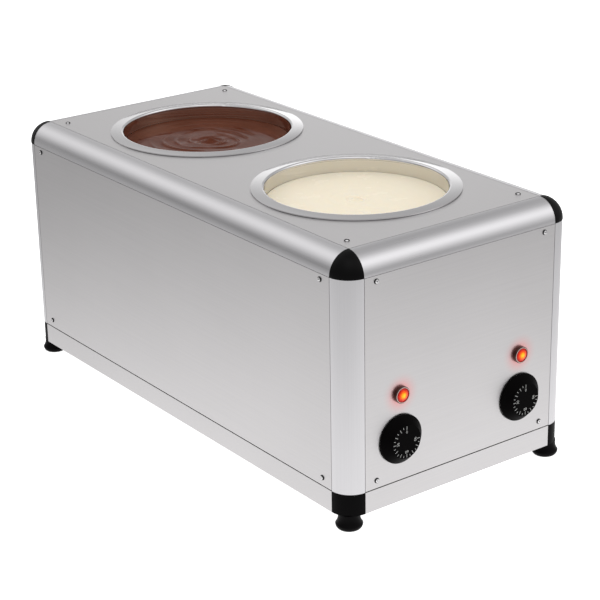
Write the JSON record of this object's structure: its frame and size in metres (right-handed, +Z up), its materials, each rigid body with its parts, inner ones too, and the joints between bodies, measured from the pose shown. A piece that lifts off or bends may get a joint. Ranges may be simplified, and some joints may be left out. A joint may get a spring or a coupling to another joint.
{
  "type": "chocolate melter",
  "caption": "Table-top dry-heat chocolate melter: steel box in a quarter-round profile frame, lift-out round pans with melted chocolate, dial thermostats and pilot lamps.",
  "frame": {"origin": "on the ground under the middle of the body (bottom centre of the bounding box)", "axes": "+Z up; +Y to the rear along the long side, away from the dials; +X to the right seen from the dials"},
  "size_m": [0.268, 0.5688, 0.2622],
  "materials": {
    "panel_steel": "satin, fine brushed grain",
    "frame_aluminium": "satin anodised extrusion",
    "black_plastic": "moulded, semi-matt",
    "foot_rubber": "moulded rubber",
    "screw_steel": "bright steel",
    "pan_steel": "mirror-polished stainless steel",
    "well_steel": "drawn stainless steel",
    "heater_steel": "steel jacket over mica",
    "lamp_chrome": "polished",
    "lamp_lens": "clear moulded lens, lit",
    "dial_plastic": "moulded, semi-matt, white print",
    "spindle_steel": "turned",
    "thermostat_case": "plated steel",
    "sensor_copper": "copper tube",
    "terminal_plastic": "moulded",
    "white_chocolate": "melted, soft gloss",
    "dark_chocolate": "melted, glossy"
  },
  "bodies": {
    "housing": {"base_tray": "panel_steel", "cable_gland": "black_plastic", "cap_front_left": "black_plastic", "cap_front_right": "black_plastic", "cap_rear_left": "black_plastic", "cap_rear_right": "black_plastic", "foot_block_front_left": "black_plastic", "foot_block_front_right": "black_plastic", "foot_block_rear_left": "black_plastic", "foot_block_rear_right": "black_plastic", "foot_front_left": "foot_rubber", "foot_front_right": "foot_rubber", "foot_rear_left": "foot_rubber", "foot_rear_right": "foot_rubber", "gland_nut": "black_plastic", "heater_band_front": "heater_steel", "heater_band_rear": "heater_steel", "heater_bolts_front": "heater_steel", "heater_bolts_rear": "heater_steel", "lamp_bezel_left": "lamp_chrome", "lamp_bezel_right": "lamp_chrome", "lamp_lens_left": "lamp_lens", "lamp_lens_right": "lamp_lens", "lamp_nuts": "black_plastic", "lamp_tube_left": "black_plastic", "lamp_tube_right": "black_plastic", "panel_front": "panel_steel", "panel_left": "panel_steel", "panel_rear": "panel_steel", "panel_right": "panel_steel", "panel_top": "panel_steel", "post_front_left": "frame_aluminium", "post_front_right": "frame_aluminium", "post_rear_left": "frame_aluminium", "post_rear_right": "frame_aluminium", "rail_front": "frame_aluminium", "rail_left": "frame_aluminium", "rail_rear": "frame_aluminium", "rail_right": "frame_aluminium", "screws_front": "screw_steel", "screws_left": "screw_steel", "screws_rear": "screw_steel", "screws_right": "screw_steel", "screws_thermostat": "screw_steel", "screws_top": "screw_steel", "sensor_left": "sensor_copper", "sensor_right": "sensor_copper", "terminal_block": "terminal_plastic", "thermostat_left": "thermostat_case", "thermostat_right": "thermostat_case", "well_front": "well_steel", "well_rear": "well_steel"},
    "left_dial": {"knob_left": "dial_plastic", "spindle_left": "spindle_steel"},
    "right_dial": {"knob_right": "dial_plastic", "spindle_right": "spindle_steel"},
    "front_pan": {"pan_front": "pan_steel", "white_chocolate": "white_chocolate"},
    "rear_pan": {"dark_chocolate": "dark_chocolate", "pan_rear": "pan_steel"}
  },
  "joints": [
    {"name": "left_dial_turn", "type": "hinge", "parent": "housing", "child": "left_dial", "pos_m": [-0.0715, -0.275, 0.0775], "axis": [0, 1, 0], "range_deg": [0, 270]},
    {"name": "right_dial_turn", "type": "hinge", "parent": "housing", "child": "right_dial", "pos_m": [0.0715, -0.275, 0.0775], "axis": [0, 1, 0], "range_deg": [0, 270]},
    {"name": "front_pan_lift", "type": "slide", "parent": "housing", "child": "front_pan", "axis": [0, 0, 1], "range_m": [0, 0.17]},
    {"name": "rear_pan_lift", "type": "slide", "parent": "housing", "child": "rear_pan", "axis": [0, 0, 1], "range_m": [0, 0.17]}
  ]
}
